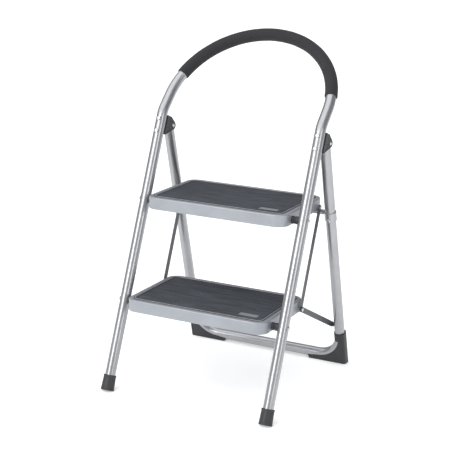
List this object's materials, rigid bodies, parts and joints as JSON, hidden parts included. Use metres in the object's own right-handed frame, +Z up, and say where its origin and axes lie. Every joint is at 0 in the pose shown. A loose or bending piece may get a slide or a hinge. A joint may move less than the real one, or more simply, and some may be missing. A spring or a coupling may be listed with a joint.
{
  "type": "folding step stool",
  "caption": "Folding step stool with tubular frames, a padded hoop handle, rubber-matted steel treads and flat links that fold treads and rear frame together.",
  "frame": {"origin": "on the floor, at the middle of the open stool's footprint", "axes": "+Z up, +Y from the front feet towards the rear frame, +X towards the right-hand leg of someone looking along +Y"},
  "size_m": [0.4462, 0.4814, 0.825],
  "materials": {
    "silver_paint": "satin powder coat",
    "tray_paint": "satin powder coat",
    "foam": "matt closed-cell foam",
    "black_plastic": "fine moulded texture",
    "mat_rubber": "ribbed, matt",
    "link_paint": "dark grey satin",
    "rivet_steel": "satin",
    "label_plate": "satin, blank"
  },
  "bodies": {
    "front_frame": {"front_frame_tube": "silver_paint", "foam_grip": "foam", "front_foot_left": "black_plastic", "front_foot_right": "black_plastic", "hinge_bracket_left": "black_plastic", "hinge_bracket_right": "black_plastic", "bracket_rivets": "rivet_steel", "frame_hinge_pin_left": "rivet_steel", "frame_hinge_pin_right": "rivet_steel", "upper_pivot_rivet_left": "rivet_steel", "upper_pivot_rivet_right": "rivet_steel", "lower_pivot_rivet_left": "rivet_steel", "lower_pivot_rivet_right": "rivet_steel", "upper_spacer_left": "black_plastic", "upper_spacer_right": "black_plastic", "lower_spacer_left": "black_plastic", "lower_spacer_right": "black_plastic"},
    "rear_frame": {"rear_frame_tube": "silver_paint", "rear_foot_left": "black_plastic", "rear_foot_right": "black_plastic", "cross_bar": "silver_paint", "cross_bar_rivets": "rivet_steel", "brace_washers": "link_paint"},
    "upper_tread": {"upper_tread_tray": "tray_paint", "upper_tread_mat": "mat_rubber", "upper_tread_label": "label_plate", "tread_catches": "black_plastic", "link_rivet_upper_left": "rivet_steel", "link_rivet_upper_right": "rivet_steel"},
    "lower_tread": {"lower_tread_tray": "tray_paint", "lower_tread_mat": "mat_rubber", "lower_tread_label": "label_plate", "link_rivet_lower_left": "rivet_steel", "link_rivet_lower_right": "rivet_steel"},
    "tread_link_l": {"tread_link_left": "link_paint"},
    "tread_link_r": {"tread_link_right": "link_paint"},
    "brace_l": {"brace_left": "link_paint", "brace_pin_left": "link_paint"},
    "brace_r": {"brace_right": "link_paint", "brace_pin_right": "link_paint"}
  },
  "joints": [
    {"name": "rear_frame_fold", "type": "hinge", "parent": "front_frame", "child": "rear_frame", "pos_m": [0, 0.05464, 0.592], "axis": [-1, 0, 0], "range_deg": [0, 38.2]},
    {"name": "upper_tread_fold", "type": "hinge", "parent": "front_frame", "child": "upper_tread", "pos_m": [0, -0.05287, 0.43], "axis": [1, 0, 0], "range_deg": [0, 62.05]},
    {"name": "lower_tread_fold", "type": "hinge", "parent": "front_frame", "child": "lower_tread", "pos_m": [0, -0.14418, 0.204], "axis": [1, 0, 0], "range_deg": [0, 62.05]},
    {"name": "tread_link_turn_left", "type": "hinge", "parent": "upper_tread", "child": "tread_link_l", "pos_m": [0, 0.09252, 0.428], "axis": [-1, 0, 0], "range_deg": [0, 62.05]},
    {"name": "tread_link_turn_right", "type": "hinge", "parent": "upper_tread", "child": "tread_link_r", "pos_m": [0, 0.09252, 0.428], "axis": [-1, 0, 0], "range_deg": [0, 62.05]},
    {"name": "brace_turn_left", "type": "hinge", "parent": "lower_tread", "child": "brace_l", "pos_m": [0, 0.00121, 0.202], "axis": [-1, 0, 0], "range_deg": [0, 142.21]},
    {"name": "brace_turn_right", "type": "hinge", "parent": "lower_tread", "child": "brace_r", "pos_m": [0, 0.00121, 0.202], "axis": [-1, 0, 0], "range_deg": [0, 142.21]}
  ],
  "couplings": [
    {"joint": "upper_tread_fold", "follows": "rear_frame_fold", "ratio": 1.623},
    {"joint": "lower_tread_fold", "follows": "rear_frame_fold", "ratio": 1.623},
    {"joint": "tread_link_turn_left", "follows": "rear_frame_fold", "ratio": 1.623},
    {"joint": "tread_link_turn_right", "follows": "rear_frame_fold", "ratio": 1.623},
    {"joint": "brace_turn_left", "follows": "rear_frame_fold", "ratio": 3.7215},
    {"joint": "brace_turn_right", "follows": "rear_frame_fold", "ratio": 3.7215}
  ]
}
